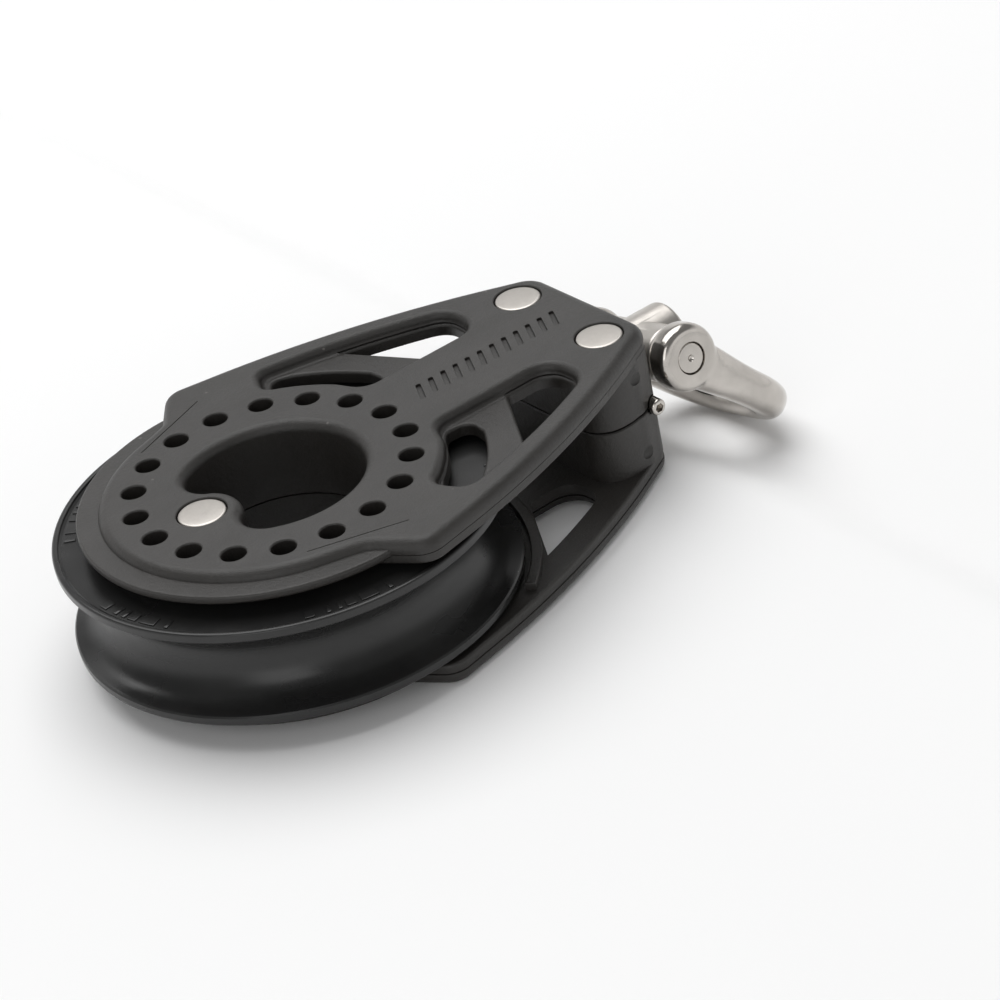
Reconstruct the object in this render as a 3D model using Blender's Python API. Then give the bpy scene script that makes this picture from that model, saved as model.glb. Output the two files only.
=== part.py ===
"""Single sheave block: ball-bearing sheave between two moulded cheeks, with a
swivelling head post and a D-shackle that hangs from it.

Each piece is shaped in millimetres about the block's centre, where the sheave's
axis meets the plane that the two cheeks share: x towards the shackle, y to the
left, z along the sheave's axis. placed() then sets it at its real place in
metres, with the ground at z = 0 under the shackle's bow.
"""

import math

import bmesh
import bpy
from mathutils import Matrix, Vector

MM = 0.001

# Cheeks: two moulded shells that meet at z = 0
HALF_WIDTH = 13.85  # block centre to a cheek's outer face
PLATE_INSIDE = 9.6  # inner face of the cheek's plate
JOINT_GAP = 0.15  # each cheek stays this far from the shared plane
RING_RADIUS = 28.9  # round nose of the plate
LEDGE_RADIUS = 32.6  # thin skirt round the nose
LEDGE_LOW, LEDGE_HIGH = 10.85, 12.35
HEAD_END_X = 66.9
HEAD_REAR_X = 51.5
HEAD_HALF_WIDTH = 18.6
POCKET_FLOOR = 11.75  # pockets beside the spine are sunk to here
SPINE_HALF_WIDTH = 9.8
LIP_INNER, LIP_OUTER, LIP_LOW = 38.4, 40.2, 8.2  # keeps the rope off the flange
HUB_RADIUS = 18.2

# Openings through the cheeks
EYE_RADIUS = 15.2  # main round of the centre hole
LOBE_RADIUS = 5.0
LOBE_CENTRE = Vector((-5.85, 8.36))
NOSE_RIVET_X = -13.8
BOSS_RADIUS = 6.6
FLUSH_CIRCLE, FLUSH_RADIUS, FLUSH_COUNT = 22.87, 2.1, 18

# Sheave and its two rows of balls
SHEAVE_RADIUS = 37.5
SHEAVE_RIM, SHEAVE_SIDE = 8.7, 8.1  # half thickness at the rim and inside it
ROPE_RADIUS = 6.9
SHEAVE_BORE, SHEAVE_WEB_BORE, SHEAVE_WEB = 25.15, 20.95, 2.6
BALL_CIRCLE, BALL_RADIUS, BALL_HEIGHT, BALL_COUNT = 22.87, 1.985, 5.0, 12
RACE_BORE, RACE_LAND, RACE_LIP = 18.5, 20.5, 21.5
CAGE_INNER, CAGE_OUTER, CAGE_LOW, CAGE_HIGH = 21.9, 24.7, 5.4, 8.6
POCKET_RADIUS = 2.3

# Rivets
RIVET_HEAD, RIVET_RECESS, RIVET_SINK = 4.05, 4.4, 1.4
HEAD_RIVET = Vector((59.9, 11.06))
HEAD_SHANK, NOSE_SHANK, SHANK_GAP = 1.95, 2.5, 0.25

# Swivel post along x, and the washer that it pulls against
SHANK_RADIUS, FLANGE_RADIUS, POST_RADIUS = 4.6, 7.3, 5.65
FLANGE_REAR, FLANGE_FRONT, SEAT_X = 54.2, 57.0, 59.2
WASHER_THICK = 1.6
RUN_GAP = 0.3
POST_END_X, POST_CHAMFER = 82.4, 0.7
PIN_X = 74.9
PIN_BOSS_RADIUS, PIN_BOSS_HALF = 5.0, 10.0

# Shackle and its pin along y, turned with the post by SWIVEL_ROLL about x so that
# the right ear stands high; the bow hangs at DROOP below the block's plane.
SWIVEL_ROLL = 12.0
EAR_RADIUS, EAR_INNER, EAR_OUTER = 6.0, 10.3, 15.5
ARM_HALF_THICK, ARM_HALF_DEEP, BAR_RADIUS = 2.6, 4.2, 3.3
BOW_REACH, BOW_HALF_WIDTH, BOW_CORNER = 25.9, 12.2, 9.0
ARM_STATIONS = (2.5, 7.0, 12.0)  # where the straight arms are sectioned
BAR_SIDES = 14
EAR_SLACK = 0.6  # the arms are cut back this far round the ears' inner faces
DROOP = 45.0
PIN_RADIUS, PIN_HOLE = 2.7, 2.9
PIN_HEAD_RADIUS, PIN_HEAD_THICK = 4.8, 2.8
PIN_SINK, PIN_CHAMFER, PIN_HEAD_CHAMFER = 0.2, 0.3, 0.6
SLOT_DEPTH, SLOT_HALF_WIDTH = 1.3, 0.7

# Lock screw along y, backed out so that the post is free
SCREW_CHAMFER, SCREW_POINT, SOCKET_RADIUS, SOCKET_DEPTH = 0.25, 0.5, 0.85, 1.8
SCREW_X, SCREW_RADIUS, SCREW_HOLE = 64.2, 1.45, 1.65
SCREW_TIP, SCREW_LENGTH = 7.3, 11.2

ROUND = 48  # sides of the large turned pieces
SMALL_ROUND = 28
CUT_PAST = 2.0  # cutters run this far past what they cut

AWAY_DROP = math.sin(math.radians(DROOP)) * math.cos(math.radians(SWIVEL_ROLL))
LEFT_DROP = math.sin(math.radians(SWIVEL_ROLL))
BOW_DROP = ((BOW_REACH - BOW_CORNER) * AWAY_DROP + (BOW_HALF_WIDTH - BOW_CORNER) * LEFT_DROP
            + BOW_CORNER * math.hypot(AWAY_DROP, LEFT_DROP) + BAR_RADIUS)
BOW_TIP_X = PIN_X + BOW_REACH * math.cos(math.radians(DROOP)) + BAR_RADIUS
CENTRE = Vector(((SHEAVE_RADIUS - BOW_TIP_X) / 2, 0.0, BOW_DROP))


# Outlines in the xy plane ---------------------------------------------------


def arc(centre, radius, start, end, steps):
    """Points from angle start to angle end, in degrees, about centre."""
    angles = [math.radians(start + (end - start) * i / steps) for i in range(steps + 1)]
    return [Vector((centre[0] + radius * math.cos(a), centre[1] + radius * math.sin(a)))
            for a in angles]


def circle(centre, radius, sides):
    return arc(centre, radius, 0, 360, sides)[:-1]


def arc_through(first, middle, last, steps):
    """Points on the circle through three points, from first to last."""
    ax, ay, bx, by, cx, cy = *first, *middle, *last
    d = 2 * (ax * (by - cy) + bx * (cy - ay) + cx * (ay - by))
    aa, bb, cc = ax * ax + ay * ay, bx * bx + by * by, cx * cx + cy * cy
    x = (aa * (by - cy) + bb * (cy - ay) + cc * (ay - by)) / d
    y = (aa * (cx - bx) + bb * (ax - cx) + cc * (bx - ax)) / d
    radius = math.hypot(ax - x, ay - y)
    start = math.degrees(math.atan2(ay - y, ax - x))
    end = math.degrees(math.atan2(cy - y, cx - x))
    return arc((x, y), radius, start, end, steps)


def rounded(corners, steps=5):
    """A closed outline from (x, y, radius) corners, each rounded to its radius."""
    outline = []
    for i, (x, y, radius) in enumerate(corners):
        here = Vector((x, y))
        if not radius:
            outline.append(here)
            continue
        before = (Vector(corners[i - 1][:2]) - here).normalized()
        after = (Vector(corners[(i + 1) % len(corners)][:2]) - here).normalized()
        half = before.angle(after) / 2
        middle = here + (before + after).normalized() * radius / math.sin(half)
        start = here + before * radius / math.tan(half) - middle
        end = here + after * radius / math.tan(half) - middle
        turn = start.angle_signed(end)
        outline += [middle + Matrix.Rotation(-turn * k / steps, 2) @ start
                    for k in range(steps + 1)]
    return outline


def sharp(points):
    return [(p[0], p[1], 0) for p in points]


def both_sides(half):
    """Closes a half outline, given from +x to -x at y >= 0, over the x axis."""
    other = [Vector((p[0], -p[1])) for p in reversed(half) if p[1] > 1e-6]
    return list(half) + other


def flipped(outline):
    return [Vector((p[0], -p[1])) for p in reversed(outline)]


def side_curve(steps):
    """The gently bowed side of the cheek, from the head to the shoulder."""
    return arc_through((61.5, 17.9), (40.5, 27.85), (10.3, 36.6), steps)


def plate_outline():
    head = [(HEAD_END_X, -15.0, 0), (HEAD_END_X, 15.0, 5.0)]
    side = sharp(side_curve(8))
    shoulder = [(3.6, 38.0, 4.2), (-2.6, 29.7, 4.0)]
    nose = sharp(arc((0, 0), RING_RADIUS, 106, 180, 12))
    corners = head + side + shoulder + nose
    return both_sides([p for p in rounded(corners) if p[1] > -1e-6][:-1])


def head_outline():
    side = sharp(side_curve(8)[:1])
    wall = [(57.5, HEAD_HALF_WIDTH, 2.0), (HEAD_REAR_X, HEAD_HALF_WIDTH - 0.6, 5.0)]
    corners = [(HEAD_END_X, 15.0, 5.0)] + side + wall
    mirror = [(x, -y, r) for x, y, r in reversed(corners)]
    return rounded(corners + mirror)


def centre_hole_outline():
    lobe = (LOBE_CENTRE[0], LOBE_CENTRE[1])
    meet = math.degrees(math.atan2(lobe[1], lobe[0] - NOSE_RIVET_X))
    leave = math.degrees(math.atan2(lobe[1], lobe[0]))
    half = arc((0, 0), EYE_RADIUS, 0, leave, 16)
    half += arc(lobe, LOBE_RADIUS, leave, 180 + meet, 8)[1:]
    half += arc((NOSE_RIVET_X, 0), BOSS_RADIUS, meet, 0, 5)[1:]
    return both_sides(half)


def arm_edge(steps):
    """Inner edge of a cheek's arm, from the head towards the shoulder."""
    return arc_through((46.5, 20.1), (35, 24.8), (20.5, 29.0), steps)


def pocket_outline():
    corners = [(49.7, SPINE_HALF_WIDTH, 2.5), (49.9, 18.4, 3.0)]
    corners += sharp(arm_edge(6))
    corners += [(17.6, 29.7, 1.6)]
    corners += sharp(arc((0, 0), 28.2, 59, 32, 6))
    corners += [(26.0, SPINE_HALF_WIDTH, 3.5)]
    return rounded(corners)


def outer_window_outline():
    inset = 0.35
    corners = [(40.3, SPINE_HALF_WIDTH + inset, 1.0), (49.7 - inset, SPINE_HALF_WIDTH + inset, 2.2)]
    corners += [(49.9 - inset, 18.4 - inset, 2.7)]
    corners += [(p[0], p[1] - inset, 0) for p in arm_edge(6)[:4]]
    return rounded(corners)


def inner_window_outline():
    """A slot that follows the sheave's rim, inside the pocket."""
    near, far = 28.5, 34.7
    corners = sharp(arc((0, 0), far, 27, 52, 6))
    corners += [(18.6, 28.6, 1.2)]
    corners += sharp(arc((0, 0), near, 58, 27, 7))
    corners += [(27.0, 11.0, 1.8), (31.4, 11.4, 2.2)]
    return rounded(corners)


# Solids --------------------------------------------------------------------


def mesh_object(name, bm):
    """Turns a bmesh in millimetres into an object in metres, faces outwards."""
    bmesh.ops.remove_doubles(bm, verts=bm.verts, dist=1e-4)
    bmesh.ops.recalc_face_normals(bm, faces=bm.faces)
    bmesh.ops.scale(bm, vec=(MM, MM, MM), verts=bm.verts)
    mesh = bpy.data.meshes.new(name)
    bm.to_mesh(mesh)
    bm.free()
    obj = bpy.data.objects.new(name, mesh)
    bpy.context.scene.collection.objects.link(obj)
    return obj


def prism_into(bm, outline, low, high):
    bottom = bm.faces.new([bm.verts.new((p[0], p[1], low)) for p in outline])
    made = bmesh.ops.extrude_face_region(bm, geom=[bottom])["geom"]
    top = [v for v in made if isinstance(v, bmesh.types.BMVert)]
    bmesh.ops.translate(bm, vec=(0, 0, high - low), verts=top)


def prisms(name, shapes):
    """One object from (outline, low, high) prisms that don't meet."""
    bm = bmesh.new()
    for outline, low, high in shapes:
        prism_into(bm, outline, low, high)
    return mesh_object(name, bm)


def turned(name, profile, sides, axis="Z"):
    """Spins a closed (radius, height) profile about an axis."""
    bm = bmesh.new()
    verts = [bm.verts.new((r, 0, h)) for r, h in profile]
    edges = [bm.edges.new((verts[i - 1], verts[i])) for i in range(len(verts))]
    bmesh.ops.spin(bm, geom=verts + edges, cent=(0, 0, 0), axis=(0, 0, 1),
                   angle=2 * math.pi, steps=sides, use_merge=True, use_duplicate=False)
    bmesh.ops.dissolve_degenerate(bm, dist=1e-5, edges=bm.edges)
    turn = {"Z": Matrix(), "X": Matrix.Rotation(math.pi / 2, 4, "Y"),
            "Y": Matrix.Rotation(-math.pi / 2, 4, "X")}[axis]
    bmesh.ops.transform(bm, matrix=turn, verts=bm.verts)
    return mesh_object(name, bm)


def rod(name, radius, low, high, axis, centre=(0, 0, 0), sides=SMALL_ROUND):
    """A plain cylinder from low to high along an axis through centre."""
    bm = bmesh.new()
    prism_into(bm, circle((0, 0), radius, sides), low, high)
    turn = {"Z": Matrix(), "X": Matrix.Rotation(math.pi / 2, 4, "Y"),
            "Y": Matrix.Rotation(-math.pi / 2, 4, "X")}[axis]
    bmesh.ops.transform(bm, matrix=Matrix.Translation(centre) @ turn, verts=bm.verts)
    return mesh_object(name, bm)


def combined(base, operation, others):
    """Applies one Boolean for each other solid, and removes them."""
    for other in others:
        modifier = base.modifiers.new(other.name, "BOOLEAN")
        modifier.operation = operation
        modifier.object = other
    bpy.context.view_layer.update()
    graph = bpy.context.evaluated_depsgraph_get()
    mesh = bpy.data.meshes.new_from_object(base.evaluated_get(graph))
    base.modifiers.clear()
    base.data = mesh
    for other in others:
        bpy.data.objects.remove(other)
    return base


def mirrored_copy(name, source):
    """The same solid on the other side of the shared plane."""
    bm = bmesh.new()
    bm.from_mesh(source.data)
    bmesh.ops.scale(bm, vec=(1, 1, -1), verts=bm.verts)
    bmesh.ops.reverse_faces(bm, faces=bm.faces)
    mesh = bpy.data.meshes.new(name)
    bm.to_mesh(mesh)
    bm.free()
    obj = bpy.data.objects.new(name, mesh)
    bpy.context.scene.collection.objects.link(obj)
    return obj


def material(name, color, roughness, metallic=0.0):
    made = bpy.data.materials.new(name)
    made.use_nodes = True
    shader = made.node_tree.nodes["Principled BSDF"]
    shader.inputs["Base Color"].default_value = (*color, 1.0)
    shader.inputs["Roughness"].default_value = roughness
    shader.inputs["Metallic"].default_value = metallic
    made.diffuse_color = (*color, 1.0)
    return made


def placed(obj, finish, pivot=(0, 0, 0), roll=0.0):
    """Moves the origin to the pivot, in millimetres, and the piece to its place,
    turned by roll degrees about x."""
    obj.data.transform(Matrix.Translation(-Vector(pivot) * MM))
    obj.location = (CENTRE + Vector(pivot)) * MM
    obj.rotation_euler = (-math.radians(roll), 0, 0)
    obj.data.materials.clear()
    obj.data.materials.append(finish)
    obj.data.shade_smooth()
    obj.data.set_sharp_from_angle(angle=math.radians(30))
    return obj


# Pieces --------------------------------------------------------------------


def cheek_body():
    plate = prisms("upper_cheek", [(plate_outline(), PLATE_INSIDE, HALF_WIDTH)])
    ledge = turned("ledge", [(27.5, LEDGE_LOW), (LEDGE_RADIUS, LEDGE_LOW),
                             (LEDGE_RADIUS, LEDGE_HIGH), (27.5, LEDGE_HIGH)], ROUND)
    sector = arc((0, 0), LIP_INNER, -52, 52, 20) + arc((0, 0), LIP_OUTER, 52, -52, 20)
    lip = prisms("lip", [(sector, LIP_LOW, PLATE_INSIDE + 0.2)])
    hub = prisms("hub", [(circle((0, 0), HUB_RADIUS, ROUND), JOINT_GAP, PLATE_INSIDE + 0.3)])
    head = prisms("head", [(head_outline(), JOINT_GAP, PLATE_INSIDE + 0.1)])
    return combined(plate, "UNION", [ledge, lip, hub, head])


def rivet_places():
    left, right = HEAD_RIVET, Vector((HEAD_RIVET[0], -HEAD_RIVET[1]))
    return [(Vector((NOSE_RIVET_X, 0)), NOSE_SHANK), (left, HEAD_SHANK), (right, HEAD_SHANK)]


def upper_cheek():
    body = cheek_body()
    through = (-CUT_PAST, HALF_WIDTH + CUT_PAST)
    holes = [(centre_hole_outline(), *through)]
    for i in range(FLUSH_COUNT):
        angle = 2 * math.pi * i / FLUSH_COUNT
        spot = Vector((math.cos(angle), math.sin(angle))) * FLUSH_CIRCLE
        holes.append((circle(spot, FLUSH_RADIUS, 12), PLATE_INSIDE - 1, through[1]))
    recesses = []
    for spot, shank in rivet_places():
        holes.append((circle(spot, shank + SHANK_GAP, 16), *through))
        recesses.append((circle(spot, RIVET_RECESS, 22), HALF_WIDTH - RIVET_SINK - 0.1,
                         HALF_WIDTH + CUT_PAST))
    pocket = pocket_outline()
    pockets = [(o, POCKET_FLOOR, HALF_WIDTH + CUT_PAST) for o in (pocket, flipped(pocket))]
    windows = []
    for outline in (outer_window_outline(), inner_window_outline()):
        windows += [(o, LIP_LOW - 1, POCKET_FLOOR + 0.5) for o in (outline, flipped(outline))]
    cavity = [(0, FLANGE_REAR - RUN_GAP), (FLANGE_RADIUS + RUN_GAP, FLANGE_REAR - RUN_GAP),
              (FLANGE_RADIUS + RUN_GAP, SEAT_X), (SHANK_RADIUS + RUN_GAP, SEAT_X),
              (SHANK_RADIUS + RUN_GAP, HEAD_END_X + CUT_PAST), (0, HEAD_END_X + CUT_PAST)]
    cutters = [prisms("holes", holes), prisms("recesses", recesses), prisms("pockets", pockets),
               prisms("windows", windows), turned("cavity", cavity, SMALL_ROUND, "X"),
               rod("screw_hole", SCREW_HOLE, -22.0, -2.0, "Y", (SCREW_X, 0, 0), 16)]
    return combined(body, "DIFFERENCE", cutters)


def sheave():
    groove = arc((SHEAVE_RADIUS - 0.1, 0), ROPE_RADIUS, 96, 264, 8)
    upper = [(SHEAVE_WEB_BORE, SHEAVE_WEB), (SHEAVE_BORE, SHEAVE_WEB), (SHEAVE_BORE, SHEAVE_SIDE),
             (SHEAVE_RADIUS - 1.2, SHEAVE_SIDE), (SHEAVE_RADIUS - 0.8, SHEAVE_RIM),
             (SHEAVE_RADIUS - 0.2, SHEAVE_RIM), (SHEAVE_RADIUS, SHEAVE_RIM - 0.3),
             (SHEAVE_RADIUS, ROPE_RADIUS + 0.2)]
    lower = [(r, -z) for r, z in reversed(upper)]
    profile = upper + [(p[0], p[1]) for p in groove] + lower
    return turned("sheave", profile, ROUND)


def inner_race():
    profile = [(RACE_BORE, JOINT_GAP), (RACE_LAND, JOINT_GAP), (RACE_LAND, BALL_HEIGHT + 0.4),
               (RACE_LIP, BALL_HEIGHT + 1.8), (RACE_LIP, PLATE_INSIDE - RUN_GAP),
               (RACE_BORE, PLATE_INSIDE - RUN_GAP)]
    return turned("upper_inner_race", profile, ROUND)


def ball_angle(i):
    return 2 * math.pi * (i + 0.5) / BALL_COUNT


def ball_cage():
    profile = [(CAGE_INNER, CAGE_LOW), (CAGE_OUTER, CAGE_LOW), (CAGE_OUTER, CAGE_HIGH),
               (CAGE_INNER, CAGE_HIGH)]
    ring = turned("upper_ball_cage", profile, 36)
    bm = bmesh.new()
    for i in range(BALL_COUNT):
        seat = bmesh.new()
        prism_into(seat, circle((0, 0), POCKET_RADIUS, 14), CAGE_INNER - 2, CAGE_OUTER + 2)
        turn = Matrix.Rotation(ball_angle(i), 4, "Z") @ Matrix.Rotation(math.pi / 2, 4, "Y")
        bmesh.ops.transform(seat, matrix=Matrix.Translation((0, 0, BALL_HEIGHT)) @ turn,
                            verts=seat.verts)
        scratch = bpy.data.meshes.new("seat")
        seat.to_mesh(scratch)
        seat.free()
        bm.from_mesh(scratch)
        bpy.data.meshes.remove(scratch)
    return combined(ring, "DIFFERENCE", [mesh_object("seats", bm)])


def ball(name):
    bm = bmesh.new()
    bmesh.ops.create_icosphere(bm, subdivisions=2, radius=BALL_RADIUS)
    return mesh_object(name, bm)


def rivet(name, spot, shank):
    """A shank through both cheeks with a low flush head at each end."""
    top = HALF_WIDTH - 0.05
    under = HALF_WIDTH - RIVET_SINK + 0.2
    half = [(0, top), (RIVET_HEAD - 0.3, top), (RIVET_HEAD, top - 0.3), (RIVET_HEAD, under),
            (shank, under)]
    profile = half + [(r, -z) for r, z in reversed(half)]
    piece = turned(name, profile, 22)
    piece.data.transform(Matrix.Translation((spot[0] * MM, spot[1] * MM, 0)))
    return piece


def swivel_post():
    """A round stud, flanged inside the head, with a cross barrel for the pin."""
    profile = [(0, FLANGE_REAR), (FLANGE_RADIUS, FLANGE_REAR), (FLANGE_RADIUS, FLANGE_FRONT),
               (SHANK_RADIUS, FLANGE_FRONT), (SHANK_RADIUS, HEAD_END_X + RUN_GAP),
               (POST_RADIUS, HEAD_END_X + RUN_GAP), (POST_RADIUS, POST_END_X - POST_CHAMFER),
               (POST_RADIUS - POST_CHAMFER, POST_END_X), (0, POST_END_X)]
    stud = turned("swivel_post", profile, SMALL_ROUND, "X")
    pin_place = (PIN_X, 0, 0)
    barrel = rod("barrel", PIN_BOSS_RADIUS, -PIN_BOSS_HALF, PIN_BOSS_HALF, "Y", pin_place)
    post = combined(stud, "UNION", [barrel])
    past = PIN_BOSS_HALF + CUT_PAST
    return combined(post, "DIFFERENCE", [rod("hole", PIN_HOLE, -past, past, "Y", pin_place, 24)])


def swivel_washer():
    low = SEAT_X - RUN_GAP - WASHER_THICK
    profile = [(SHANK_RADIUS + RUN_GAP, low), (FLANGE_RADIUS, low),
               (FLANGE_RADIUS, low + WASHER_THICK), (SHANK_RADIUS + RUN_GAP, low + WASHER_THICK)]
    return turned("swivel_washer", profile, SMALL_ROUND, "X")


def bow_path():
    """Centre line of the bow about the pin: u away from the pin, v to the left."""
    turn = (BOW_REACH - BOW_CORNER, BOW_HALF_WIDTH - BOW_CORNER)
    half = [Vector((u, BOW_HALF_WIDTH)) for u in ARM_STATIONS]
    half += arc(turn, BOW_CORNER, 90, 0, 8)
    return half + [Vector((p[0], -p[1])) for p in reversed(half)]


def bar_section(u):
    """Half thickness in the bow's plane and half depth across it: the arms are
    flat and deep, and the bow's end is round."""
    share = min(max((u - ARM_STATIONS[0]) / (BOW_REACH - BOW_CORNER), 0.0), 1.0)
    return (ARM_HALF_THICK + (BAR_RADIUS - ARM_HALF_THICK) * share,
            ARM_HALF_DEEP + (BAR_RADIUS - ARM_HALF_DEEP) * share)


def shackle():
    sides = BAR_SIDES
    bm = bmesh.new()
    path = bow_path()
    rings = []
    for i, here in enumerate(path):
        along = (path[min(i + 1, len(path) - 1)] - path[max(i - 1, 0)]).normalized()
        across = Vector((-along[1], along[0]))
        thick, deep = bar_section(here[0])
        ring = []
        for k in range(sides):
            a = 2 * math.pi * k / sides
            flat = here + across * thick * math.cos(a)
            ring.append(bm.verts.new((flat[0], flat[1], deep * math.sin(a))))
        rings.append(ring)
    for one, two in zip(rings, rings[1:]):
        for k in range(sides):
            bm.faces.new((one[k], one[k - 1], two[k - 1], two[k]))
    bm.faces.new(rings[0])
    bm.faces.new(rings[-1])
    bow = mesh_object("shackle", bm)
    ears = [rod("ear", EAR_RADIUS, low, high, "Y")
            for low, high in ((-EAR_OUTER, -EAR_INNER), (EAR_INNER, EAR_OUTER))]
    bow = combined(bow, "UNION", ears)
    past = EAR_OUTER + CUT_PAST
    hole = rod("hole", PIN_HOLE, -past, past, "Y", sides=24)
    slack = rod("slack", EAR_RADIUS + EAR_SLACK, -EAR_INNER, EAR_INNER, "Y")
    bow = combined(bow, "DIFFERENCE", [hole, slack])
    turn = Matrix.Rotation(math.radians(DROOP), 4, "Y")
    bow.data.transform(Matrix.Translation((PIN_X * MM, 0, 0)) @ turn)
    return bow


def shackle_pin():
    """Screwed into the right ear; its slotted head stands on the left one."""
    seat = EAR_OUTER + RUN_GAP
    near, head = -EAR_OUTER + PIN_SINK, seat + PIN_HEAD_THICK
    profile = [(0, near), (PIN_RADIUS - PIN_CHAMFER, near), (PIN_RADIUS, near + PIN_CHAMFER),
               (PIN_RADIUS, seat), (PIN_HEAD_RADIUS, seat),
               (PIN_HEAD_RADIUS, head - PIN_HEAD_CHAMFER),
               (PIN_HEAD_RADIUS - PIN_HEAD_CHAMFER, head), (0, head)]
    pin = turned("shackle_pin", profile, 24, "Y")
    pin.data.transform(Matrix.Translation((PIN_X * MM, 0, 0)))
    past, floor, above = PIN_HEAD_RADIUS + 1.2, head - SLOT_DEPTH, head + 1
    slot = prisms("slot", [([Vector((PIN_X - past, floor)), Vector((PIN_X + past, floor)),
                             Vector((PIN_X + past, above)), Vector((PIN_X - past, above))],
                            -SLOT_HALF_WIDTH, SLOT_HALF_WIDTH)])
    return combined(pin, "DIFFERENCE", [slot])


def lock_screw():
    """A set screw, driven by the hexagon socket in its outer end."""
    tip, end = -SCREW_TIP, -SCREW_TIP - SCREW_LENGTH
    profile = [(0, end), (SCREW_RADIUS - SCREW_CHAMFER, end),
               (SCREW_RADIUS, end + SCREW_CHAMFER), (SCREW_RADIUS, tip - SCREW_POINT),
               (SCREW_RADIUS - SCREW_POINT, tip), (0, tip)]
    screw = turned("lock_screw", profile, 18, "Y")
    screw.data.transform(Matrix.Translation((SCREW_X * MM, 0, 0)))
    socket = rod("socket", SOCKET_RADIUS, end - CUT_PAST, end + SOCKET_DEPTH, "Y", (SCREW_X, 0, 0), 6)
    return combined(screw, "DIFFERENCE", [socket])


def build():
    for obj in list(bpy.data.objects):
        bpy.data.objects.remove(obj)
    nylon = material("cheek_nylon", (0.045, 0.044, 0.043), 0.55)
    acetal = material("sheave_acetal", (0.022, 0.022, 0.023), 0.35)
    white = material("race_resin", (0.60, 0.58, 0.50), 0.4)
    resin = material("ball_resin", (0.32, 0.22, 0.10), 0.3)
    steel = material("polished_stainless", (0.66, 0.65, 0.62), 0.15, 1.0)
    satin = material("satin_stainless", (0.62, 0.60, 0.57), 0.35, 1.0)

    upper = upper_cheek()
    lower = mirrored_copy("lower_cheek", upper)
    placed(upper, nylon)
    placed(lower, nylon)
    placed(sheave(), acetal)

    race, cage = inner_race(), ball_cage()
    other_race = mirrored_copy("lower_inner_race", race)
    other_cage = mirrored_copy("lower_ball_cage", cage)
    for piece in (race, other_race):
        placed(piece, white)
    for piece in (cage, other_cage):
        placed(piece, acetal)
    for row, height in (("upper", BALL_HEIGHT), ("lower", -BALL_HEIGHT)):
        for i in range(BALL_COUNT):
            angle = ball_angle(i)
            piece = placed(ball(f"{row}_ball_{i + 1:02d}"), resin)
            piece.location += Vector((BALL_CIRCLE * math.cos(angle),
                                      BALL_CIRCLE * math.sin(angle), height)) * MM

    for name, (spot, shank) in zip(("nose_rivet", "head_rivet_left", "head_rivet_right"),
                                   rivet_places()):
        placed(rivet(name, spot, shank), satin, (spot[0], spot[1], 0))

    pin_axis = (PIN_X, 0, 0)
    placed(swivel_post(), satin, pin_axis, SWIVEL_ROLL)
    placed(swivel_washer(), white, pin_axis, SWIVEL_ROLL)
    placed(shackle(), steel, pin_axis, SWIVEL_ROLL)
    placed(shackle_pin(), steel, pin_axis, SWIVEL_ROLL)
    placed(lock_screw(), steel, (SCREW_X, 0, 0))


build()
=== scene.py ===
"""Looks of the single sheave block: moulded cheeks with their fillets, a turned
sheave, its bearing, rivets, the swivel post and the forged shackle.

Every piece is shaped in millimetres about the block's centre, where the sheave's
axis meets the plane that the two cheeks share, with x towards the shackle, y to
the left and z along the sheave's axis. settle() then takes it to its place.
"""

import math

import bmesh
import bpy
from mathutils import Matrix, Vector


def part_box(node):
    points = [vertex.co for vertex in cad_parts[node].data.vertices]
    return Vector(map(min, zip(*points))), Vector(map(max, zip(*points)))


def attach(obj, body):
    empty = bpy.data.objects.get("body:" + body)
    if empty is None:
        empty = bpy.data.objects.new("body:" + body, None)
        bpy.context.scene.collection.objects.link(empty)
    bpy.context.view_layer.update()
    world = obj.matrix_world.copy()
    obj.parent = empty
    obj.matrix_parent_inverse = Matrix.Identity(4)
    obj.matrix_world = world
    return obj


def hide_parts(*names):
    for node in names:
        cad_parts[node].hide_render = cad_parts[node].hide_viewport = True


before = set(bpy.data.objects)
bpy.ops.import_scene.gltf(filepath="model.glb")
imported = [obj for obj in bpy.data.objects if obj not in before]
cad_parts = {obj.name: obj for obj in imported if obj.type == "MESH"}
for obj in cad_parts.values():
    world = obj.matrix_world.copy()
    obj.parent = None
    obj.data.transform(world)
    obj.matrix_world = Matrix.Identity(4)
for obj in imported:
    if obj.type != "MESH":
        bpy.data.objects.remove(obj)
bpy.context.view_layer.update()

MM = 0.001


def middle(node):
    low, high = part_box(node)
    return (low + high) / 2


def reach(node, axis):
    """Half the node's box along an axis, in millimetres."""
    low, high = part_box(node)
    return (high[axis] - low[axis]) / 2 / MM


HOME = middle("sheave")
X, Y, Z = 0, 1, 2

# Read off the frame, in millimetres about the block's centre
HALF_WIDTH = (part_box("upper_cheek")[1][Z] - HOME[Z]) / MM
HEAD_END_X = (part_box("upper_cheek")[1][X] - HOME[X]) / MM
SHEAVE_RADIUS = reach("sheave", X)
SHEAVE_RIM = reach("sheave", Z)
PIN_X = (middle("shackle_pin")[X] - HOME[X]) / MM
HEAD_RIVET = (middle("head_rivet_left") - HOME) / MM
NOSE_RIVET_X = (middle("nose_rivet")[X] - HOME[X]) / MM
BALL_RADIUS = reach("upper_ball_01", Z)
SCREW_X = (middle("lock_screw")[X] - HOME[X]) / MM
SCREW_ENDS = [(corner[Y] - HOME[Y]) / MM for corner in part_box("lock_screw")]
POST_REAR = (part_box("swivel_post")[0][X] - HOME[X]) / MM
WASHER_X = [(corner[X] - HOME[X]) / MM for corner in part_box("swivel_washer")]

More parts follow.
